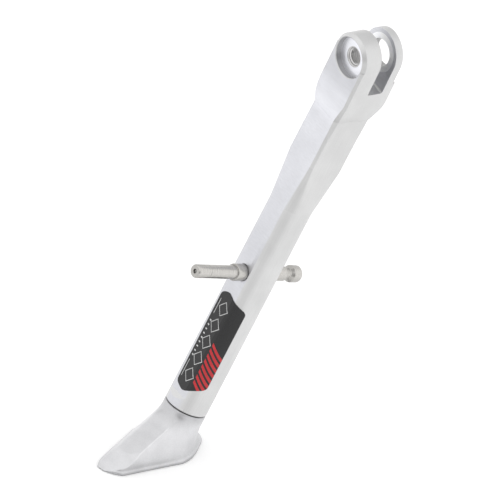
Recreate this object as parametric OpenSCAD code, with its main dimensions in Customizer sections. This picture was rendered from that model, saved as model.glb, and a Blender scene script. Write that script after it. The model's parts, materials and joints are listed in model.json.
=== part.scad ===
// Side stand for a motorcycle: an aluminium leg with a clevis at its top, a
// separate foot bolted on below, a kick peg, a spring post and a vinyl label.
// Origin: on the pivot axis, midway between the clevis ears.
// +Y runs from the threaded ear to the plain ear, +Z is up, the foot points to -Y.

/* [Pivot clevis] */
// Gap between the ears, for the frame bracket
slot_w = 10.3; // [9:0.1:12]
// Depth of the slot's floor below the pivot axis
slot_deep = 18.8; // [17:0.1:22]
// Radius of the rounded ear tops, and half the width of the clevis
ear_r = 14.1; // [13.7:0.1:15.5]
// Thickness of the threaded ear
thick_ear = 12.45; // [11:0.05:14]
// Thickness of the plain ear around its bore
thin_ear = 4.7; // [4:0.1:6]
// Extra thickness of the plain ear below the machined round
ear_step = 1.9; // [0.6:0.1:2.4]
// Outer diameter of the pivot bolt's thread
pivot_d = 10; // [8:1:12]
// Diameter of the bore for the pivot bolt's shoulder
shoulder_d = 15.6; // [14:0.1:17]
// Diameter of the lock nut's counterbore
nut_bore_d = 23.2; // [22:0.2:24.4]
// Depth of the lock nut's counterbore
nut_bore_deep = 3.8; // [2:0.1:5]
// Lean of the clevis towards +X
lug_lean = 10.7; // [6:0.1:12]

/* [Leg] */
// Height of the pivot axis above the ground
stand_h = 262.3; // [258:0.1:270]
// Drop from the pivot axis to the joint between leg and foot
seam_drop = 235.8; // [228:0.1:237]
// Splay of the shaft towards -Y, away from upright
splay = 14.52; // [12:0.01:16]
// Diameter of the round lower shaft
shaft_d = 25.2; // [24:0.1:26]
// Distance of the front flat from the shaft's axis
flat_at = 10.9; // [10.5:0.1:11.5]
// Distance of the back face from the shaft's axis
back_at = 12.2; // [11.6:0.1:12.4]
// Half the width of the square upper shaft
square_half = 12.1; // [11.5:0.1:12.5]
// Turn of the shaft's flats towards -X, about its axis
leg_turn = 5; // [0:0.5:7]

/* [Pins] */
// Height of the pins above the joint, along the shaft
pins_at = 89.7; // [84:0.1:100]
// Turn of the pins about the shaft's axis, peg towards +X
pin_turn = 4.4; // [0:0.1:6]
// Diameter of the kick peg
peg_d = 7.7; // [6:0.1:9]
// Reach of the kick peg from the shaft's axis
peg_reach = 51.5; // [40:0.1:60]
// Diameter of the kick peg's collar
collar_d = 9.8; // [9:0.1:12]
// Diameter of the spring post's head
post_head_d = 9.9; // [8.8:0.1:11]
// Reach of the spring post from the shaft's axis
post_reach = 35.7; // [33.5:0.1:38]

/* [Foot] */
// Turn of the toe towards +X
toe_turn = 15; // [10:0.5:20]
// Half the width of the sole on its +X side
sole_right = 17.4; // [16.5:0.1:19]
// Half the width of the sole on its -X side
sole_left = 19.9; // [19:0.1:21]
// Thickness of the rim round the sole
rim_h = 2; // [1.5:0.1:3]
// Width of the flat ridge that runs down to the toe
ridge_w = 13.5; // [12:0.1:15]
// Fall of the ridge towards the toe, in degrees
ridge_fall = 23.9; // [20:0.1:26]

/* [Label] */
// Thickness of the vinyl film
film_t = 0.25; // [0.15:0.05:0.4]
// Number of slanted stripes
stripe_count = 8; // [4:1:9]

/* [Hidden] */
$fn = 96;
hull_fn = 32;
sliver = 0.1;            // thickness of a hull's end slices
eps = 0.5;               // overrun of a cut

// Clevis, derived
thick_y = -slot_w / 2 - thick_ear;
thin_y = slot_w / 2 + thin_ear;
step_y = thin_y + ear_step;
step_z = -12.3;
edge_bevel = 1.5;
block_bevel = 0.6;       // back edges of the clevis
cone_w = 1.8;            // turned chamfer round the threaded ear
cone_h = 2.0;
lip = 0.5;
mouth = 0.4;
bore_break = 0.15;       // broken edges of the shoulder bore
slot_fillet = 0.8;
insert_r = 6;
insert_sink = 0.15;

// Leg, derived
shaft_r = shaft_d / 2;
axis_x = -8;             // the shaft's axis lies in this plane
axis_y0 = 6.91;          // and crosses the pivot's height here
seam_y = axis_y0 - seam_drop * tan(splay);
upper_bevel = 2;
front_bevel = 1.5;
bevel_turn = 15;         // shallow bevels beside the front flat
bevel_at = 11.87;
flat_start = 8;          // the flat runs out just above the joint
flat_ramp = 4;
seam_chamfer = 0.6;
round_end = 136;         // round section below, square section above
square_start = 166;
square_end = 184;
root_z = -27;            // the clevis is straight above this height
root_w = root_z / cos(lug_lean);
root_lap = 2;            // overlap of the straight block and the ramp below it
crease_z = -42.5;
crease_lean = 0.5;
crease_half = 12.6;
crease_bevel = 2.2;
ramp_r = 54.3;           // boss face curving in to the crease
ramp_slices = 4;

// Bolted joint between leg and foot
spigot_r = 8;
spigot_h = 21.5;
spigot_bore_h = 22.5;
bolt_r = 4;
bolt_tip = 40;
bolt_hole_h = 46;
bolt_clear_r = 4.5;
head_r = 6.5;
head_h = 8;
head_seat = -13;         // floor of the bolt's counterbore in the foot
washer_r = 6.9;
washer_t = 1.6;
head_bore_r = 7.4;
hex_af = 6;              // key size of the bolt's socket
hex_deep = 4.5;
dowel_r = 1.5;
dowel_at = 10.1;
dowel_half = 6;

// Pins
peg_shank_r = 3.5;
peg_seat = 10.4;         // spot face for the peg's collar
collar_end = 19.1;
peg_chamfer = 1;
dimple_r = 1.2;
post_shank_r = 3;
post_base_r = 4.4;
post_seat = 11.8;        // spot face for the post's base
post_base_end = 22.9;
post_neck_r = 2.9;
post_neck_end = 27;
post_round = 2;
spot_r = 5;
shank_start = 1;

// Foot
foot_y = seam_y - (stand_h - seam_drop) * tan(splay);
widest_y = -5.5;
toe = [[-13.6, -33.3], [-10.4, -47.2], [-7.2, -52.8], [-2.2, -53], [2.8, -50.4], [6.6, -46.9]];
heel = [[17.2, -0.5], [15.9, 5.6], [13.3, 13.2], [8.8, 22.6], [4.5, 25.7], [-2, 26], [-9.5, 22],
        [-15.7, 13], [-19.2, 2]];
sole_round = 1.4;
rim_in = 0.6;
ridge_r = 1.5;
ridge_top = 22.4;        // ridge height above the sole at its upper end
ridge_y0 = -8.5;
ridge_ends = [[-5.25, -48.5], [-2.5, -50], [0.5, -50], [3.5, -47.6], [5.25, -44]];
neck_low = -24;
seam_gap = 0.3;

// Label
film_gap = 0.03;
print_t = 0.06;          // printed layer on the film
label_turn = 19.6;       // the label's middle, from the front towards +X
label_outline = [[-6.5, 72.6], [0, 75.4], [15.5, 69.6], [15.5, 17.6], [8.6, 14.4], [1.9, 10.6],
                 [-5.6, 12.8]];
label_round = 2.2;
stripe_w = 2;
stripe_pitch = 3.53;
stripe_low = [6.5, 19];
stripe_fall = 0.72;
stripe_len = 12;
mark_count = 5;
mark_pitch = 11;
mark_low = 21;           // centre of the lowest lozenge
mark_half = [3.6, 4.2];  // half the width and half the length of a lozenge
mark_arc = 1.6;
mark_line = 0.5;
rule_arc = -4.1;         // thin rules and ticks along the label's -X edge
rule_w = 0.4;
rules = [[17, 28], [59, 69]];
tick_size = [1.5, 0.8];
ticks = [31 : 2.9 : 56];

// ---- placing and shared shapes ----

// Shaft frame: z = 0 at the joint with the foot, z along the shaft, front at -Y
module at_shaft() translate([axis_x, seam_y, -seam_drop]) rotate([-splay, 0, 0]) children();

// Clevis frame: leans with the ears about the pivot axis
module at_lug() rotate([0, lug_lean, 0]) children();

// Foot frame: on the ground under the shaft's axis, toe at -Y
module at_foot() translate([axis_x, foot_y, -stand_h]) rotate([0, 0, toe_turn]) children();

// A shape turned to run along +Y from y
module along_y(y) translate([0, y, 0]) rotate([-90, 0, 0]) children();

// A rectangle with front bevels c0 and back bevels c1
function bevelled(half, y0, y1, c0, c1) = [
    [-half, y0 + c0], [-half + c0, y0], [half - c0, y0], [half, y0 + c0],
    [half, y1 - c1], [half - c1, y1], [-half + c1, y1], [-half, y1 - c1]];

// A polygon's corners rounded with short curves that start r from each corner
function unit(v) = v / norm(v);
function bend(a, v, b, t) = (1 - t) * (1 - t) * a + 2 * t * (1 - t) * v + t * t * b;
function rounded(p, r) = [
    for (i = [0 : len(p) - 1])
        let (v = p[i], q = p[(i + len(p) - 1) % len(p)], n = p[(i + 1) % len(p)])
            for (t = [0 : 0.25 : 1]) bend(v + r * unit(q - v), v, v + r * unit(n - v), t)];

// At a height z: the back face's line, the ramp in front and the shaft's axis
function back_y(z) = mid_y(z) + back_at / cos(splay);
function ramp_y(z) = thick_y + ramp_r - sqrt(ramp_r * ramp_r - pow(root_z - z, 2));
function mid_y(z) = axis_y0 + z * tan(splay);
function ramp_part(z) = (root_z - z) / (root_z - crease_z);

// Pin frame: z = 0 on the shaft's axis, z out to the front (-1) or to the back (1)
module at_pin(side) at_shaft() translate([0, 0, pins_at]) rotate([-90 * side, 0, pin_turn]) children();

// Section of the round shaft with its front flat and the bevels beside it
module shaft_section(grow = 0) {
    difference() {
        circle(r = shaft_r + grow);
        for (a = [-bevel_turn, 0, bevel_turn])
            rotate(a - leg_turn)
                translate([-shaft_d, -(a == 0 ? flat_at : bevel_at) - grow - shaft_d])
                    square([2 * shaft_d, shaft_d]);
    }
}

// ---- leg ----

// Section of the clevis at a height z between the straight part and the crease
module ramp_slice(z) {
    p = ramp_part(z);
    half = ear_r - (ear_r - crease_half) * p * p;
    translate([z * tan(lug_lean), 0, z])
        rotate([0, lug_lean + (crease_lean - lug_lean) * p, 0])
            linear_extrude(sliver)
                translate([0, mid_y(z)]) rotate(-leg_turn * p) translate([0, -mid_y(z)])
                    polygon(bevelled(half, ramp_y(z), min(step_y, back_y(z)),
                                     edge_bevel + (crease_bevel - edge_bevel) * p,
                                     block_bevel + (upper_bevel - block_bevel) * p));
}

module square_slice(s, h = sliver)
    at_shaft() translate([0, 0, s]) rotate([0, 0, -leg_turn]) linear_extrude(h)
        polygon(bevelled(square_half, -flat_at, back_at, front_bevel, upper_bevel));

// Length h of the clevis's straight part, from w up
module straight_section(w, h)
    translate([0, 0, w]) linear_extrude(h)
        polygon(bevelled(ear_r, thick_y, step_y, edge_bevel, block_bevel));

// Ears and the solid block under the slot
module clevis() {
    at_lug() difference() {
        union() {
            straight_section(root_w + root_lap, -root_w - root_lap);
            along_y(thick_y) {
                cylinder(h = cone_h, r1 = ear_r - cone_w, r2 = ear_r);
                translate([0, 0, cone_h]) cylinder(h = thick_ear - cone_h, r = ear_r);
            }
            along_y(slot_w / 2) cylinder(h = thin_ear, r = ear_r);
        }
        // The plain ear is faced back round its bore
        translate([-2 * ear_r, thin_y, step_z]) cube([4 * ear_r, 2 * ear_step, 3 * ear_r]);
        // Slot, with a small fillet at each side of its floor
        rotate([90, 0, 90])
            translate([0, 0, -2 * ear_r])
                linear_extrude(4 * ear_r)
                    polygon([[-slot_w / 2, 2 * ear_r], [-slot_w / 2, -slot_deep + slot_fillet],
                             [-slot_w / 2 + slot_fillet, -slot_deep],
                             [slot_w / 2 - slot_fillet, -slot_deep],
                             [slot_w / 2, -slot_deep + slot_fillet], [slot_w / 2, 2 * ear_r]]);
    }
}

// Counterbore, insert hole and shoulder bore on the pivot axis
module pivot_cuts() {
    along_y(thick_y - eps) cylinder(h = nut_bore_deep + eps, r = nut_bore_d / 2);
    along_y(thick_y - eps)
        cylinder(h = lip + eps, r1 = nut_bore_d / 2 + lip + eps, r2 = nut_bore_d / 2);
    along_y(thick_y) cylinder(h = thick_ear + eps, r = insert_r);
    along_y(0) cylinder(h = step_y + eps, r = shoulder_d / 2);
    along_y(slot_w / 2 - eps)
        cylinder(h = bore_break + eps, r1 = shoulder_d / 2 + bore_break + eps, r2 = shoulder_d / 2);
    along_y(thin_y - bore_break)
        cylinder(h = bore_break + eps, r1 = shoulder_d / 2, r2 = shoulder_d / 2 + bore_break + eps);
}

// Cut that makes one front plane of the round shaft, running out near its end
module front_cut(at)
    rotate([90, 0, 90])
        translate([0, 0, -shaft_d])
            linear_extrude(2 * shaft_d)
                polygon([[-at, round_end + eps], [-at, flat_start], [-shaft_r - eps, flat_ramp],
                         [-shaft_d, flat_ramp], [-shaft_d, round_end + eps]]);

module round_shaft() {
    difference() {
        union() {
            cylinder(h = seam_chamfer, r1 = shaft_r - seam_chamfer, r2 = shaft_r);
            translate([0, 0, seam_chamfer]) cylinder(h = round_end - seam_chamfer, r = shaft_r);
        }
        for (a = [-bevel_turn, 0, bevel_turn])
            rotate([0, 0, a - leg_turn]) front_cut(a == 0 ? flat_at : bevel_at);
    }
}

module leg() color("silver") difference() {
    union() {
        clevis();
        hull() {
            at_lug() straight_section(root_w + 2 * root_lap, sliver);
            for (i = [0 : ramp_slices])
                ramp_slice(root_z + (crease_z - root_z) * i / ramp_slices);
        }
        hull() {
            ramp_slice(crease_z);
            square_slice(square_end);
        }
        square_slice(square_start, square_end - square_start + sliver);
        hull() {
            square_slice(square_start);
            at_shaft() translate([0, 0, round_end - sliver])
                linear_extrude(sliver) shaft_section($fn = 2 * hull_fn);
        }
        at_shaft() round_shaft();
    }
    pivot_cuts();
    at_shaft() {
        translate([0, 0, -eps]) cylinder(h = spigot_bore_h + eps, r = spigot_r);
        cylinder(h = bolt_hole_h, r = bolt_r);
        translate([0, dowel_at, -eps]) cylinder(h = dowel_half + eps, r = dowel_r);
    }
    at_pin(-1) translate([0, 0, shank_start]) cylinder(h = shaft_d, r = peg_shank_r);
    at_pin(-1) translate([0, 0, peg_seat]) cylinder(h = shaft_d, r = spot_r);
    at_pin(1) translate([0, 0, shank_start]) cylinder(h = shaft_d, r = post_shank_r);
    at_pin(1) translate([0, 0, post_seat]) cylinder(h = shaft_d, r = spot_r);
}

// Threaded steel bush in the thick ear, for the pivot bolt
module thread_insert() color("slategray")
    along_y(thick_y + nut_bore_deep + insert_sink)
        rotate_extrude()
            polygon([[pivot_d / 2 + mouth, 0], [insert_r, 0], [insert_r, insert_len()],
                     [pivot_d / 2 + mouth, insert_len()], [pivot_d / 2, insert_len() - mouth],
                     [pivot_d / 2, mouth]]);

function insert_len() = thick_ear - nut_bore_deep - 2 * insert_sink;

// ---- pins ----

// A turned pin: profile points are [radius, distance from the shaft's axis]
module turned_pin(points) rotate_extrude() polygon(points);

module kick_peg() color("gainsboro")
    at_pin(-1)
        turned_pin([[0, shank_start], [peg_shank_r, shank_start], [peg_shank_r, peg_seat],
                    [collar_d / 2, peg_seat], [collar_d / 2, collar_end - mouth],
                    [collar_d / 2 - mouth, collar_end], [peg_d / 2, collar_end],
                    [peg_d / 2, peg_reach - peg_chamfer], [peg_d / 2 - peg_chamfer, peg_reach],
                    [dimple_r, peg_reach], [0, peg_reach - dimple_r]]);

module spring_post() color("gainsboro")
    at_pin(1)
        turned_pin(concat(
            [[0, shank_start], [post_shank_r, shank_start], [post_shank_r, post_seat],
             [post_base_r, post_seat], [post_base_r, post_base_end],
             [post_neck_r, post_base_end + post_base_r - post_neck_r],
             [post_neck_r, post_neck_end],
             [post_head_d / 2, post_neck_end + post_head_d / 2 - post_neck_r]],
            [for (a = [0 : 15 : 90])
                [post_head_d / 2 - post_round * (1 - cos(a)),
                 post_reach - post_round * (1 - sin(a))]],
            [[0, post_reach]]));

// ---- foot and its fastening ----

// Outline of the sole
sole_outline = concat([[sole_right, widest_y]], heel, [[-sole_left, widest_y]], toe);

function ridge_z(y) = ridge_top + (y - ridge_y0) * tan(ridge_fall);

module ridge_corner(x, y)
    translate([x, y, ridge_z(y) - ridge_r]) sphere(r = ridge_r, $fn = hull_fn);

module foot_body() {
    linear_extrude(rim_h) polygon(rounded(sole_outline, sole_round));
    hull() {
        translate([0, 0, rim_h - eps]) linear_extrude(eps)
            offset(delta = -rim_in) polygon(rounded(sole_outline, sole_round));
        for (side = [-1, 1]) ridge_corner(side * (ridge_w / 2 - ridge_r), ridge_y0);
        for (e = ridge_ends) ridge_corner(e[0], e[1]);
    }
}

module foot() color("darkgray") difference() {
    union() {
        at_foot() foot_body();
        at_shaft() {
            translate([0, 0, neck_low]) cylinder(h = -neck_low - seam_gap - seam_chamfer, r = shaft_r);
            translate([0, 0, -seam_gap - seam_chamfer])
                cylinder(h = seam_chamfer, r1 = shaft_r, r2 = shaft_r - seam_chamfer);
            translate([0, 0, -eps - seam_gap]) cylinder(h = spigot_h + eps, r = spigot_r);
        }
    }
    at_shaft() {
        translate([0, 0, neck_low]) cylinder(h = spigot_h - neck_low + eps, r = bolt_clear_r);
        translate([0, 0, 2 * neck_low]) cylinder(h = head_seat - 2 * neck_low, r = head_bore_r);
        translate([0, dowel_at, -dowel_half]) cylinder(h = dowel_half + eps, r = dowel_r);
    }
}

// Socket-head screw that draws the foot's spigot up into the leg
module foot_bolt() color("dimgray") at_shaft() {
    seat = head_seat - washer_t;
    difference() {
        union() {
            translate([0, 0, seat - head_h]) cylinder(h = 0.5, r1 = head_r - 0.5, r2 = head_r);
            translate([0, 0, seat - head_h + 0.5]) cylinder(h = head_h - 0.5, r = head_r);
            translate([0, 0, seat]) cylinder(h = bolt_tip - seat, r = bolt_r);
        }
        translate([0, 0, seat - head_h - eps])
            cylinder(h = hex_deep + eps, r = hex_af / 2 / cos(30), $fn = 6);
    }
}

module foot_bolt_washer() color("gray") at_shaft()
    translate([0, 0, head_seat - washer_t]) difference() {
        cylinder(h = washer_t, r = washer_r);
        translate([0, 0, -eps]) cylinder(h = washer_t + 2 * eps, r = bolt_r + 0.2);
    }

// Pin across the joint that keeps the foot from turning
module foot_dowel() color("gray") at_shaft()
    translate([0, dowel_at, 0.5 - dowel_half]) cylinder(h = 2 * dowel_half - 1, r = dowel_r);

// ---- label ----

// Unrolled label points [arc from the front, height] seen along the label's middle
function seen(p) = [shaft_r * sin(p[0] / shaft_r * 180 / PI - label_turn), p[1]];
function seen_all(points) = [for (p = points) seen(p)];

// The part of a skin on the shaft that lies under a flat outline
module wrapped(lift, thick) at_shaft() intersection() {
    linear_extrude(pins_at) difference() {
        shaft_section(lift + thick);
        shaft_section(lift);
    }
    rotate([0, 0, label_turn]) rotate([90, 0, 0]) linear_extrude(shaft_d) children();
}

module label_film() color("black")
    wrapped(film_gap, film_t) polygon(rounded(seen_all(label_outline), label_round));

// One slanted stripe, from its upper left end, clipped by the label's margin
function stripe(low) = [
    low, low + [0, stripe_w], low + [stripe_len, stripe_w - stripe_len * stripe_fall],
    low + [stripe_len, -stripe_len * stripe_fall]];

module label_stripes() color("red")
    wrapped(film_gap + film_t, print_t) intersection() {
        polygon(rounded(seen_all(label_outline), label_round));
        union() {
            for (i = [0 : stripe_count - 1])
                polygon(seen_all(stripe(stripe_low + [0, i * stripe_pitch])));
        }
    }

// A lozenge on the label, grown all round
module lozenge(centre, grow) polygon(seen_all([
    centre - [mark_half[0] + grow, 0], centre - [0, mark_half[1] + grow],
    centre + [mark_half[0] + grow, 0], centre + [0, mark_half[1] + grow]]));

// An upright bar on the label
module bar(low, size) polygon(seen_all([low, low + [size[0], 0], low + size, low + [0, size[1]]]));

// Plain lozenge outlines, with rules and ticks beside them
module label_outlines() color("white")
    wrapped(film_gap + film_t, print_t) {
        for (i = [0 : mark_count - 1]) difference() {
            lozenge([mark_arc, mark_low + i * mark_pitch], mark_line);
            lozenge([mark_arc, mark_low + i * mark_pitch], 0);
        }
        for (r = rules) bar([rule_arc, r[0]], [rule_w, r[1] - r[0]]);
        for (s = ticks) bar([rule_arc, s], tick_size);
    }

leg();
thread_insert();
foot();
foot_bolt();
foot_bolt_washer();
foot_dowel();
kick_peg();
spring_post();
label_film();
label_stripes();
label_outlines();
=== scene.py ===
"""Looks of the kickstand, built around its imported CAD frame. Metres, row frame."""
import json
import math

import bmesh
import bpy
import numpy as np
from mathutils import Matrix, Vector

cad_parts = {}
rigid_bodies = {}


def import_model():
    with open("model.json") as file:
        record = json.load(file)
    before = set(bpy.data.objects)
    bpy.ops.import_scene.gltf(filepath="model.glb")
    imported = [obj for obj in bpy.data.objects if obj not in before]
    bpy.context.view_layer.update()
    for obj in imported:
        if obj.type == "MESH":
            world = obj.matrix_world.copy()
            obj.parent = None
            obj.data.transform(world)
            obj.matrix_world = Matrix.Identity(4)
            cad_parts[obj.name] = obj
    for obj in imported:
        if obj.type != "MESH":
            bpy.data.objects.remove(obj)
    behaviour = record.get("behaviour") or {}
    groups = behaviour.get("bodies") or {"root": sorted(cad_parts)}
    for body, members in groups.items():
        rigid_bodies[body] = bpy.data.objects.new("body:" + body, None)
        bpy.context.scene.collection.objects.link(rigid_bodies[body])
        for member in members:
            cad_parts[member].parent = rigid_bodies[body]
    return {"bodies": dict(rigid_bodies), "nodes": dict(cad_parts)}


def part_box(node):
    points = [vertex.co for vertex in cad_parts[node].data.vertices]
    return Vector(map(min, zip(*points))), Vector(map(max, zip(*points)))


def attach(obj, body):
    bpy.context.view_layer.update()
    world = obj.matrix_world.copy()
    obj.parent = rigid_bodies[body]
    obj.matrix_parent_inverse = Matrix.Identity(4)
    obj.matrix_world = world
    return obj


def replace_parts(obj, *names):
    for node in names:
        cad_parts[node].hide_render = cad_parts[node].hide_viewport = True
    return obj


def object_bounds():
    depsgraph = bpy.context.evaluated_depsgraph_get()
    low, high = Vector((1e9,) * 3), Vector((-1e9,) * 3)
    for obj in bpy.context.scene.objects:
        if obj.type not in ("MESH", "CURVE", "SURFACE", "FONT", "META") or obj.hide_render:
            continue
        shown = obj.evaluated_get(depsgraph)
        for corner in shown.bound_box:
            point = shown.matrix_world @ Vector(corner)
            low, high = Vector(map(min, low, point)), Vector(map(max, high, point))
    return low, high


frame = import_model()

CAD_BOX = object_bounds()
MM = 0.001
scene = bpy.context.scene
nodes = frame["nodes"]
body = next(iter(frame["bodies"]))

# Driving values of the part, in mm and degrees
SPLAY = math.radians(14.52)
SEAM_DROP = 235.8
STAND_H = 262.3
AXIS_X, AXIS_Y0 = -8.0, 6.91
SEAM_Y = AXIS_Y0 - SEAM_DROP * math.tan(SPLAY)
FOOT_Y = SEAM_Y - (STAND_H - SEAM_DROP) * math.tan(SPLAY)
TOE_TURN = math.radians(15)
SHAFT_R, PINS_AT = 12.6, 89.7
PIN_TURN = math.radians(4.4)
THICK_Y = -17.6
BUSH_START, BUSH_LEN, THREAD_R = THICK_Y + 3.95, 8.35, 5.0

SHAFT = (Matrix.Translation((AXIS_X, SEAM_Y, -SEAM_DROP)) @ Matrix.Rotation(-SPLAY, 4, "X"))
FOOT = (Matrix.Translation((AXIS_X, FOOT_Y, -STAND_H)) @ Matrix.Rotation(TOE_TURN, 4, "Z"))
SHAFT_DIR = (SHAFT.to_3x3() @ Vector((0, 0, 1))).normalized()


# ---- camera: a very long lens, so the view is nearly parallel ----

CAMERA_AIM = Vector((-8.35, -40.4, -132.1)) * MM
CAMERA_RIGHT = Vector((0.5684, 0.786, 0.2432))
CAMERA_BACK = Vector((0.6069, -0.600, 0.5212))
CAMERA_DISTANCE = 12.0
FRAME_WIDTH = 0.2793
SENSOR = 24.0


def make_camera():
    back = CAMERA_BACK.normalized()
    right = (CAMERA_RIGHT - back * CAMERA_RIGHT.dot(back)).normalized()
    up = back.cross(right)
    data = bpy.data.cameras.new("camera")
    data.sensor_width = SENSOR
    data.lens = SENSOR * CAMERA_DISTANCE / FRAME_WIDTH
    data.clip_start, data.clip_end = 1, 60
    camera = bpy.data.objects.new("camera", data)
    turn = Matrix((right, up, back)).transposed().to_4x4()
    camera.matrix_world = Matrix.Translation(CAMERA_AIM + back * CAMERA_DISTANCE) @ turn
    scene.collection.objects.link(camera)
    scene.camera = camera


make_camera()


# ---- node helpers for materials ----

class Shader:
    """A small wrapper round a node tree: every call adds one node."""

    def __init__(self, tree):
        self.tree = tree
        self.object_mm = self.vmath("SCALE", self.add("TexCoord").outputs["Object"], scale=1000)

    def add(self, kind):
        return self.tree.nodes.new("ShaderNode" + kind)

    def put(self, socket, value):
        if isinstance(value, bpy.types.NodeSocket):
            self.tree.links.new(value, socket)
        elif value is not None:
            socket.default_value = value

    def math(self, op, a, b=None, clamp=False):
        node = self.add("Math")
        node.operation, node.use_clamp = op, clamp
        self.put(node.inputs[0], a)
        self.put(node.inputs[1], b)
        return node.outputs[0]

    def vmath(self, op, a, b=None, scale=None):
        node = self.add("VectorMath")
        node.operation = op
        self.put(node.inputs[0], a)
        self.put(node.inputs[1], b)
        if scale is not None:
            self.put(node.inputs["Scale"], scale)
        return node.outputs["Value" if op in ("DOT_PRODUCT", "LENGTH") else "Vector"]

    def ramp(self, value, low, high, out_low=0.0, out_high=1.0):
        node = self.add("MapRange")
        node.interpolation_type = "SMOOTHSTEP"
        for socket, v in zip(node.inputs, (value, low, high, out_low, out_high)):
            self.put(socket, v)
        return node.outputs[0]

    def noise(self, vector, scale, detail=2.0, rough=0.5):
        node = self.add("TexNoise")
        self.put(node.inputs["Vector"], vector)
        node.inputs["Scale"].default_value = scale
        node.inputs["Detail"].default_value = detail
        node.inputs["Roughness"].default_value = rough
        return node.outputs[0]

    def stretched(self, direction, along):
        """Position in mm with the part along a direction scaled down, for drawn-out grain."""
        part = self.vmath("DOT_PRODUCT", self.object_mm, direction)
        cut = self.vmath("SCALE", direction, scale=self.math("MULTIPLY", part, along - 1))
        return self.vmath("ADD", self.object_mm, cut)

    def mix(self, fac, a, b):
        node = self.add("Mix")
        node.data_type = "RGBA"
        self.put(node.inputs[0], fac)
        self.put(node.inputs[6], a)
        self.put(node.inputs[7], b)
        return node.outputs[2]

    def blend(self, fac, a, b):
        node = self.add("Mix")
        self.put(node.inputs[0], fac)
        self.put(node.inputs[2], a)
        self.put(node.inputs[3], b)
        return node.outputs[0]

    def shade(self, colour, amount):
        """A colour multiplied by a number."""
        return self.vmath("SCALE", colour, scale=amount)

    def bump(self, height, strength, distance, normal=None):
        node = self.add("Bump")
        node.inputs["Strength"].default_value = strength
        node.inputs["Distance"].default_value = distance
        self.put(node.inputs["Height"], height)
        self.put(node.inputs["Normal"], normal)
        return node.outputs[0]

    def soft_edges(self, radius):
        node = self.add("Bevel")
        node.samples = 4
        node.inputs["Radius"].default_value = radius
        return node.outputs[0]

    def openness(self, distance):
        """1 on open faces, less in bores and slots."""
        node = self.add("AmbientOcclusion")
        node.samples = 6
        node.inputs["Distance"].default_value = distance
        return node.outputs["AO"]

    def facing(self, direction):
        return self.vmath("DOT_PRODUCT", self.add("NewGeometry").outputs["Normal"], direction)


def material(name, metallic, roughness, colour=None):
    mat = bpy.data.materials.new(name)
    mat.use_nodes = True
    principled = mat.node_tree.nodes["Principled BSDF"]
    principled.inputs["Metallic"].default_value = metallic
    principled.inputs["Roughness"].default_value = roughness
    if colour:
        principled.inputs["Base Color"].default_value = (*colour, 1)
    return mat, principled, Shader(mat.node_tree)


# ---- materials ----

# Painted shade and painted light: factors on a surface's tone, matched to the photo from the front
BOSS_SHADE, BEVEL_SHADE, BORE_SHADE, NECK_SHADE = 0.86, 0.84, 0.6, 0.79
RECESS_LIGHT, FAR_EAR_LIGHT, RIDGE_EDGE_LIGHT = 1.45, 1.15, 1.12


def leg_material():
    """Machined aluminium: cross-brushed front faces, fine drawn grain on the sides."""
    mat, out, s = material("leg_aluminium", 1, 0.36)
    front = s.ramp(s.math("MULTIPLY", s.facing((0, 1, 0)), -1.0), 0.80, 0.93)
    across = s.noise(s.stretched((1, 0, 0), 0.035), 2.6, 3.0, 0.7)
    cloudy = s.noise(s.object_mm, 0.06, 2.0)
    along = s.noise(s.stretched(tuple(SHAFT_DIR), 0.03), 1.9, 3.0, 0.7)
    fine = s.noise(s.object_mm, 3.0, 2.0)
    grain = s.blend(front, s.blend(0.5, along, fine), across)
    height = s.vmath("DOT_PRODUCT", s.object_mm, (0, 0, 1))
    # Painted light and shade on the front faces: brighter higher up, a painted highlight on the
    # ramp above the crease and painted shade on the boss; other faces a flat 0.94
    painted_ramp_highlight = s.math("MULTIPLY", s.ramp(height, -27, -38), s.ramp(height, -47, -41))
    lit = s.ramp(height, -175, -45, 0.90, 1.0)
    lit = s.math("MULTIPLY", lit, s.ramp(height, -26, -14, 1.0, BOSS_SHADE))
    lit = s.blend(front, 0.94, lit)
    lit = s.math("ADD", lit, s.math("MULTIPLY", s.math("MULTIPLY", painted_ramp_highlight, front), 0.10))
    tone = s.math("MULTIPLY", lit, s.ramp(grain, 0.2, 0.8, 0.93, 1.07))
    tone = s.math("MULTIPLY", tone, s.ramp(cloudy, 0.3, 0.7, 0.97, 1.03))
    # Painted shade on the bore walls; painted light on the counterbore's floor and the far ear's
    # inner face
    radial = s.vmath("LENGTH", s.vmath("MULTIPLY", s.object_mm, (1, 0, 1)))
    sideways = s.math("ABSOLUTE", s.facing((0, 1, 0)))
    bore = s.math("MULTIPLY", s.ramp(radial, 11.8, 12.0, 1.0, 0.0),
                  s.ramp(sideways, 0.3, 0.6, 1.0, 0.0))
    tone = s.math("MULTIPLY", tone, s.blend(bore, 1.0, BORE_SHADE))
    recess = s.math("MULTIPLY", front, s.ramp(radial, 11.2, 11.6, 1.0, 0.0))
    tone = s.math("MULTIPLY", tone, s.blend(recess, 1.0, RECESS_LIGHT))
    behind = s.math("MULTIPLY", front, s.ramp(s.vmath("DOT_PRODUCT", s.object_mm, (0, 1, 0)), 0, 2))
    tone = s.math("MULTIPLY", tone, s.blend(behind, 1.0, FAR_EAR_LIGHT))
    # Painted shade on the bevel strip, picked out by the way its faces turn
    bevel = s.facing(tuple(Vector((0.68, -0.70, -0.18)).normalized()))
    tone = s.math("MULTIPLY", tone, s.ramp(bevel, 0.90, 0.98, 1.0, BEVEL_SHADE))
    # A faint painted blue reflection tint on the front faces
    colour = s.mix(front, (0.70, 0.70, 0.70, 1), (0.695, 0.70, 0.735, 1))
    s.put(out.inputs["Base Color"], s.shade(colour, tone))
    s.put(out.inputs["Roughness"], s.blend(front, s.ramp(grain, 0.2, 0.8, 0.34, 0.46),
                                           s.ramp(grain, 0.2, 0.8, 0.28, 0.42)))
    s.put(out.inputs["Normal"], s.bump(grain, 0.22, 0.00008, s.soft_edges(0.0005)))
    return mat


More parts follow.
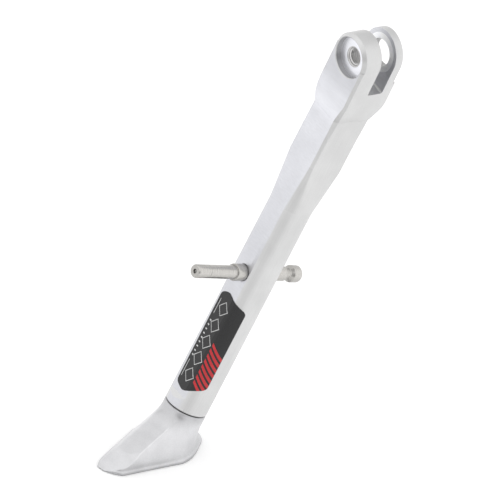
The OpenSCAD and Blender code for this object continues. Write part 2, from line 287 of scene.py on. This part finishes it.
def foot_material():
    """Bead-blasted aluminium casting."""
    mat, out, s = material("foot_aluminium", 1, 0.4)
    pits = s.noise(s.object_mm, 1.7, 3.0, 0.65)
    cloudy = s.noise(s.object_mm, 0.12, 2.0)
    tone = s.math("MULTIPLY", s.ramp(pits, 0.25, 0.75, 0.95, 1.05),
                  s.ramp(cloudy, 0.3, 0.7, 0.96, 1.03))
    # Painted shade in hollows, from ambient occlusion
    tone = s.math("MULTIPLY", tone, s.ramp(s.openness(0.02), 0.45, 1.0, 0.55, 1.03))
    # Painted shade on the neck, above a height of about -240 mm
    height = s.vmath("DOT_PRODUCT", s.object_mm, (0, 0, 1))
    tone = s.math("MULTIPLY", tone, s.ramp(height, -244, -236, 1.0, NECK_SHADE))
    # Painted highlight on the ridge's edge, picked out by the way its faces turn
    edge = s.facing(tuple(Vector((0.5, -0.2, 0.84)).normalized()))
    tone = s.math("MULTIPLY", tone, s.ramp(edge, 0.965, 0.995, 1.0, RIDGE_EDGE_LIGHT))
    s.put(out.inputs["Base Color"], s.shade((0.69, 0.69, 0.705), tone))
    s.put(out.inputs["Roughness"], s.ramp(pits, 0.2, 0.8, 0.30, 0.44))
    s.put(out.inputs["Normal"], s.bump(pits, 0.35, 0.0001, s.soft_edges(0.0006)))
    return mat


def turned_material(name, colour, roughness, axis, with_painted_shade=False):
    """Turned metal: fine rings round an axis, and painted shade on request."""
    mat, out, s = material(name, 1, roughness)
    rings = s.noise(s.shade(axis, s.vmath("DOT_PRODUCT", s.object_mm, axis)), 5.0, 3.0, 0.7)
    spots = s.noise(s.object_mm, 0.7, 3.0, 0.6)
    tone = s.math("MULTIPLY", s.ramp(rings, 0.2, 0.8, 0.90, 1.08),
                  s.ramp(spots, 0.25, 0.75, 0.94, 1.04))
    if with_painted_shade:
        # Painted shade in crevices, from ambient occlusion, and on faces turned away from the upper
        # +X side
        tone = s.math("MULTIPLY", tone, s.ramp(s.openness(0.006), 0.45, 0.9, 0.3, 1.0))
        tone = s.math("MULTIPLY", tone, s.ramp(s.facing((0.75, -0.1, 0.65)), 0.5, 0.95, 0.76, 1.0))
    s.put(out.inputs["Base Color"], s.shade(colour, tone))
    s.put(out.inputs["Roughness"], s.ramp(rings, 0.2, 0.8, roughness - 0.05, roughness + 0.08))
    s.put(out.inputs["Normal"], s.bump(rings, 0.3, 0.00005))
    return mat


def film_material(name, colour, roughness):
    """Printed vinyl with a slight orange peel."""
    mat, out, s = material(name, 0, roughness)
    peel = s.noise(s.object_mm, 0.8, 3.0, 0.6)
    s.put(out.inputs["Base Color"], s.shade(colour, s.ramp(peel, 0.25, 0.75, 0.9, 1.1)))
    s.put(out.inputs["Roughness"], s.ramp(peel, 0.2, 0.8, roughness - 0.05, roughness + 0.07))
    s.put(out.inputs["Normal"], s.bump(peel, 0.15, 0.0001))
    return mat


PIN_AXIS = tuple(SHAFT.to_3x3() @ Matrix.Rotation(PIN_TURN, 3, "Z") @ Vector((0, 1, 0)))
STAINLESS = turned_material("stainless", (0.60, 0.585, 0.56), 0.24, PIN_AXIS, with_painted_shade=True)
INSERT = turned_material("insert_steel", (0.62, 0.615, 0.61), 0.3, (0, 1, 0))
ZINC = turned_material("zinc_steel", (0.42, 0.43, 0.45), 0.36, tuple(SHAFT_DIR))
FOOT_LOOK = foot_material()
LOOKS = {
    "leg": leg_material(), "thread_insert": INSERT, "foot": FOOT_LOOK,
    "foot_bolt": ZINC, "foot_bolt_washer": ZINC, "foot_dowel": ZINC,
    "kick_peg": STAINLESS, "spring_post": STAINLESS,
    "label_film": film_material("black_vinyl", (0.008, 0.008, 0.009), 0.3),
    "label_stripes": film_material("red_print", (0.52, 0.018, 0.025), 0.35),
    "label_outlines": film_material("white_print", (0.62, 0.62, 0.62), 0.4),
}
for name, look in LOOKS.items():
    mesh = nodes[name].data
    mesh.materials.clear()
    mesh.materials.append(look)


# ---- new meshes ----

def new_piece(name, verts, faces, look, sharp=None):
    mesh = bpy.data.meshes.new(name)
    mesh.from_pydata(verts, [], faces)
    mesh.materials.append(look)
    mesh.polygons.foreach_set("use_smooth", [True] * len(mesh.polygons))
    if sharp:
        mesh.set_sharp_from_angle(angle=math.radians(sharp))
    piece = bpy.data.objects.new(name, mesh)
    scene.collection.objects.link(piece)
    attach(piece, body)
    return piece


def lathe(profile, frame_of, segments=96):
    """Rings of a closed profile [radius, height] round z, placed by a matrix; mm in, m out."""
    verts, faces = [], []
    rings = []
    for r, h in profile:
        if r < 1e-6:
            rings.append([len(verts)] * segments)
            verts.append(frame_of @ Vector((0, 0, h)) * MM)
            continue
        rings.append(range(len(verts), len(verts) + segments))
        for i in range(segments):
            a = 2 * math.pi * i / segments
            verts.append(frame_of @ Vector((r * math.cos(a), r * math.sin(a), h)) * MM)
    for low, high in zip(rings, rings[1:]):
        for i in range(segments):
            j = (i + 1) % segments
            face = [low[i], low[j], high[j], high[i]]
            faces.append([v for k, v in enumerate(face) if v != face[k - 1]])
    return verts, faces


def corner(centre, radius, start, end, steps=5):
    """Arc points [radius, height] from one angle to another, in degrees."""
    for i in range(steps + 1):
        a = math.radians(start + (end - start) * i / steps)
        yield (centre[0] + radius * math.cos(a), centre[1] + radius * math.sin(a))


def surface_net(field, origin, step):
    """Quads where a sampled field changes sign: vertices (n, 3) and faces (m, 4)."""
    inside = field < 0
    cells = tuple(n - 1 for n in field.shape)
    total = np.zeros(cells + (3,), np.float32)
    count = np.zeros(cells, np.float32)
    edges = []
    for axis in range(3):
        lo = [slice(None)] * 3
        hi = [slice(None)] * 3
        lo[axis], hi[axis] = slice(None, -1), slice(1, None)
        a, b = field[tuple(lo)], field[tuple(hi)]
        cross = inside[tuple(lo)] != inside[tuple(hi)]
        t = np.where(cross, a / np.where(cross, a - b, 1), 0)
        u, v = [k for k in range(3) if k != axis]
        for du in (0, 1):
            for dv in (0, 1):
                s = [slice(None)] * 3
                s[u] = slice(du, du + field.shape[u] - 1)
                s[v] = slice(dv, dv + field.shape[v] - 1)
                m = cross[tuple(s)]
                total[..., axis] += np.where(m, t[tuple(s)], 0)
                total[..., u] += m * du
                total[..., v] += m * dv
                count += m
        edges.append((cross, inside[tuple(lo)], u, v))
    used = count > 0
    ids = np.full(cells, -1, np.int64)
    ids[used] = np.arange(used.sum())
    verts = (total[used] / count[used][:, None] + np.argwhere(used)) * step + origin
    quads = []
    for axis, (cross, low_inside, u, v) in enumerate(edges):
        s = [slice(None)] * 3
        s[u], s[v] = slice(1, -1), slice(1, -1)
        at = np.argwhere(cross[tuple(s)])
        at[:, u] += 1
        at[:, v] += 1
        corners = []
        for du, dv in ((1, 1), (0, 1), (0, 0), (1, 0)):
            c = at.copy()
            c[:, u] -= du
            c[:, v] -= dv
            corners.append(ids[c[:, 0], c[:, 1], c[:, 2]])
        quad = np.stack(corners, 1)
        flip = low_inside[at[:, 0], at[:, 1], at[:, 2]] == (axis == 1)
        quad[flip] = quad[flip][:, ::-1]
        quads.append(quad)
    return verts, np.concatenate(quads)


# ---- foot: body and neck run together in soft fillets ----

SOLE = [(17.4, -5.5), (17.2, -0.5), (15.9, 5.6), (13.3, 13.2), (8.8, 22.6), (4.5, 25.7), (-2, 26),
        (-9.5, 22), (-15.7, 13), (-19.2, 2), (-19.9, -5.5), (-13.6, -33.3), (-10.4, -47.2),
        (-7.2, -52.8), (-2.2, -53), (2.8, -50.4), (6.6, -46.9)]
RIM_H = 2.0
RIDGE_HALF, RIDGE_TOP, RIDGE_Y0, RIDGE_FALL = 6.75, 22.4, -8.5, math.radians(23.9)
RIDGE_R = 1.5
RIDGE_ENDS = [(-5.25, -48.5), (-2.5, -50), (0.5, -50), (3.5, -47.6), (5.25, -44)]
GRID_STEP = 0.5


def hull_planes(points):
    """Outward planes (normal, offset) of a convex hull, each once."""
    bm = bmesh.new()
    for p in points:
        bm.verts.new(p)
    bmesh.ops.convex_hull(bm, input=bm.verts)
    middle = sum((v.co for v in bm.verts), Vector()) / len(bm.verts)
    planes = []
    for face in bm.faces:
        n = face.normal.copy()
        d = n.dot(face.verts[0].co)
        if n.dot(middle) > d:
            n, d = -n, -d
        if face.calc_area() > 0.3 and all((n - m).length > 0.02 for m, _ in planes):
            planes.append((n, d))
    bm.free()
    return planes


def smooth_max(values, size):
    """Largest of several fields, with edges rounded over about a size."""
    top = np.maximum.reduce(values)
    return top + size * np.log(sum(np.exp((v - top) / size) for v in values))


def smooth_min(a, b, size):
    part = np.clip(0.5 + 0.5 * (b - a) / size, 0, 1)
    return b + (a - b) * part - size * part * (1 - part)


def into(matrix, x, y, z):
    """Coordinates of row-frame points in a frame given by its matrix."""
    inv = matrix.inverted()
    return [inv[i][0] * x + inv[i][1] * y + inv[i][2] * z + inv[i][3] for i in range(3)]


def foot_field(x, y, z):
    fx, fy, fz = into(FOOT, x, y, z)
    sx, sy, sz = into(SHAFT, x, y, z)
    ridge = [(side * RIDGE_HALF, RIDGE_Y0, RIDGE_TOP) for side in (-1, 1)]
    for end_x, end_y in RIDGE_ENDS:
        tip = end_y - 0.6 * RIDGE_R
        ridge.append((end_x * RIDGE_HALF / (RIDGE_HALF - RIDGE_R), tip,
                      RIDGE_TOP + (tip - RIDGE_Y0) * math.tan(RIDGE_FALL)))
    middle = Vector((-1, -8))
    inset = [Vector(p) + (middle - Vector(p)).normalized() * 0.5 for p in SOLE]
    planes = hull_planes([(p.x, p.y, h) for p in inset for h in (0, RIM_H)] + ridge)
    block = smooth_max([n.x * fx + n.y * fy + n.z * fz - d for n, d in planes if n.z > -0.5], 0.45)
    sides = []
    for p, q in zip(SOLE, SOLE[1:] + SOLE[:1]):
        n = Vector((q[1] - p[1], p[0] - q[0])).normalized()
        sides.append(n.x * (fx - p[0]) + n.y * (fy - p[1]))
    rim = smooth_max([smooth_max(sides, 0.2), fz - RIM_H + 0.2], 0.3)
    block = smooth_min(block, rim, 1.4)
    radial = np.hypot(sx, sy)
    top = np.maximum(sz + 0.3, (radial - SHAFT_R + sz + 0.9) / math.sqrt(2))
    neck = np.maximum(np.maximum(radial - SHAFT_R, top), -sz - 30)
    solid = np.maximum(smooth_min(block, neck, 8.0), top)
    spigot = np.maximum(radial - 7.95, np.maximum(sz - 21.5, -sz - 5))
    solid = np.maximum(np.minimum(solid, spigot), -fz)
    bolt_room = np.minimum(np.maximum(radial - 7.4, sz + 13), radial - 4.5)
    dowel = np.maximum(np.hypot(sx, sy - 10.1) - 1.5, -sz - 6)
    return np.maximum(solid, -np.minimum(bolt_room, dowel))


def make_foot():
    low, high = (np.array(corner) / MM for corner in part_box("foot"))
    low, high = low - 2 * GRID_STEP, high + 2 * GRID_STEP
    # One layer of samples lies just under the ground, so the sole stays flat
    low[2] = -STAND_H - 1.5 * GRID_STEP
    axes = [np.arange(a, b, GRID_STEP, dtype=np.float32) for a, b in zip(low, high)]
    field = foot_field(*np.meshgrid(*axes, indexing="ij"))
    verts, faces = surface_net(field, low, GRID_STEP)
    for _ in range(3):
        value = foot_field(*verts.T)
        slope = np.stack([foot_field(*(verts + 0.05 * np.eye(3)[k]).T) - value
                          for k in range(3)], 1) / 0.05
        size = np.maximum((slope ** 2).sum(1), 0.25)
        verts = verts - np.clip(value / size, -0.3, 0.3)[:, None] * slope
    verts[:, 2] = np.maximum(verts[:, 2], -STAND_H)
    piece = new_piece("foot_casting", (verts * MM).tolist(), faces.tolist(), FOOT_LOOK,
                      sharp=50)
    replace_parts(piece, "foot")


# ---- thread, pins ----

def make_thread():
    """Inside thread of the bush: one helical ridge, about six turns."""
    pitch, segments, depth = 1.25, 48, 0.8
    turns = BUSH_LEN / pitch - 0.7
    section = [(THREAD_R + 0.03, -0.52), (THREAD_R - depth, -0.09), (THREAD_R - depth, 0.09),
               (THREAD_R + 0.03, 0.52)]
    verts, faces = [], []
    count = int(turns * segments)
    for i in range(count + 1):
        a = 2 * math.pi * i / segments
        fade = min(1, i / 20, (count - i) / 20)
        y = BUSH_START + 0.6 + pitch * i / segments
        for r, w in section:
            r = THREAD_R + 0.03 - (THREAD_R + 0.03 - r) * fade
            verts.append((r * math.cos(a) * MM, (y + w) * MM, r * math.sin(a) * MM))
    for i in range(count):
        for k in range(3):
            a, b = 4 * i + k, 4 * i + k + 1
            faces.append((a, b, b + 4, a + 4))
    new_piece("bush_thread", verts, faces, INSERT, sharp=30)


def pin_frame(side):
    """Pin axis as z, starting at the shaft's axis: side -1 is the front."""
    turn = Matrix.Rotation(PIN_TURN, 4, "Z") @ Matrix.Rotation(-side * math.pi / 2, 4, "X")
    return SHAFT @ Matrix.Translation((0, 0, PINS_AT)) @ turn


def make_peg():
    r, c, end, step, seat = 3.85, 4.9, 51.5, 19.1, 10.4
    profile = [(0, 1), (3.5, 1), (3.5, seat), (c - 0.25, seat)]
    profile += corner((c - 0.25, seat + 0.25), 0.25, -90, 0)
    profile += corner((c - 0.55, step - 0.55), 0.55, 0, 90)
    profile += corner((r + 0.35, step + 0.35), 0.35, 270, 180)
    groove = 41.0
    profile += [(r, groove), (r - 0.12, groove + 0.12), (r - 0.12, groove + 0.3),
                (r, groove + 0.42)]
    profile += [(r, end - 0.9), (r - 0.15, end - 0.65), (r - 0.75, end - 0.1), (r - 1.0, end),
                (1.5, end), (1.3, end - 0.1), (0.9, end - 1.0), (0, end - 1.25)]
    verts, faces = lathe(profile, pin_frame(-1))
    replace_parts(new_piece("kick_peg_turned", verts, faces, STAINLESS, sharp=32),
                "kick_peg")


def make_post():
    base, neck, head, end = 4.4, 2.9, 4.95, 35.7
    profile = [(0, 1), (3.0, 1), (3.0, 11.8), (base, 11.8)]
    profile += corner((base - 0.45, 22.45), 0.45, 0, 60)
    profile += corner((neck + 0.9, 24.4), 0.9, 250, 180)
    profile += corner((neck + 0.9, 27.1), 0.9, 180, 118)
    profile += corner((head - 0.5, 29.3), 0.5, -55, 0)
    profile += corner((head - 1.9, end - 1.9), 1.9, 0, 90, 10)
    profile += [(1.5, end), (1.3, end - 0.1), (0.7, end - 0.6), (0, end - 0.7)]
    verts, faces = lathe(profile, pin_frame(1))
    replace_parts(new_piece("spring_post_turned", verts, faces, STAINLESS, sharp=32),
                "spring_post")


make_foot()
make_thread()
make_peg()
make_post()
for name in ("leg", "thread_insert", "foot_bolt", "label_film"):
    mesh = nodes[name].data
    mesh.polygons.foreach_set("use_smooth", [True] * len(mesh.polygons))
    mesh.set_sharp_from_angle(angle=math.radians(24))


# ---- studio ----

FLOOR_GLOW = 0.2
FLOOR_RADIUS = 6
FLOOR_GAP = 0.0002       # keeps the floor clear of the sole


def make_floor():
    bm = bmesh.new()
    bmesh.ops.create_circle(bm, cap_ends=True, segments=64, radius=FLOOR_RADIUS)
    mesh = bpy.data.meshes.new("floor")
    bm.to_mesh(mesh)
    bm.free()
    floor = bpy.data.objects.new("floor", mesh)
    floor.location = (0, 0, CAD_BOX[0].z - FLOOR_GAP)
    scene.collection.objects.link(floor)
    mat, out, _ = material("floor_white", 0, 0.8, (0.9, 0.9, 0.9))
    out.inputs["Emission Color"].default_value = (1, 1, 1, 1)
    out.inputs["Emission Strength"].default_value = FLOOR_GLOW
    mesh.materials.append(mat)


def area_light(name, place, aim, size, watts):
    data = bpy.data.lights.new(name, "AREA")
    data.shape = "RECTANGLE"
    data.size, data.size_y = size
    data.energy = watts
    lamp = bpy.data.objects.new(name, data)
    lamp.location = place
    lamp.rotation_mode = "QUATERNION"
    lamp.rotation_quaternion = (Vector(aim) - Vector(place)).to_track_quat("-Z", "Y")
    scene.collection.objects.link(lamp)


# The room lights the part nearly alone; the key is weak, since its edge shows in the flat ridge
KEY_PLACE, KEY_AIM = (-0.5, -1.2, 1.3), (0, -0.04, -0.13)
KEY_SIZE, KEY_WATTS = (1.4, 1.4), 0.3
# Darker patches of the white room: direction, inner and outer cosine, brightness
ROOM_LEVEL = 1.1
PATCHES = [((0.74, -0.66, 0.12), 0.965, 0.80, 0.45), ((-0.5, 0.5, 0.7), 0.95, 0.6, 0.8)]


def make_room():
    world = bpy.data.worlds.new("studio")
    world.use_nodes = True
    s = Shader(world.node_tree)
    look = s.add("TexCoord").outputs["Generated"]
    level = ROOM_LEVEL
    for direction, inner, outer, dark in PATCHES:
        near = s.vmath("DOT_PRODUCT", look, tuple(Vector(direction).normalized()))
        level = s.math("MULTIPLY", level, s.ramp(near, outer, inner, 1.0, dark))
    background = world.node_tree.nodes["Background"]
    background.inputs["Color"].default_value = (1, 1, 1, 1)
    s.put(background.inputs["Strength"], level)
    scene.world = world
    scene.view_settings.view_transform = "Standard"


make_room()
make_floor()
area_light("key", KEY_PLACE, KEY_AIM, KEY_SIZE, KEY_WATTS)
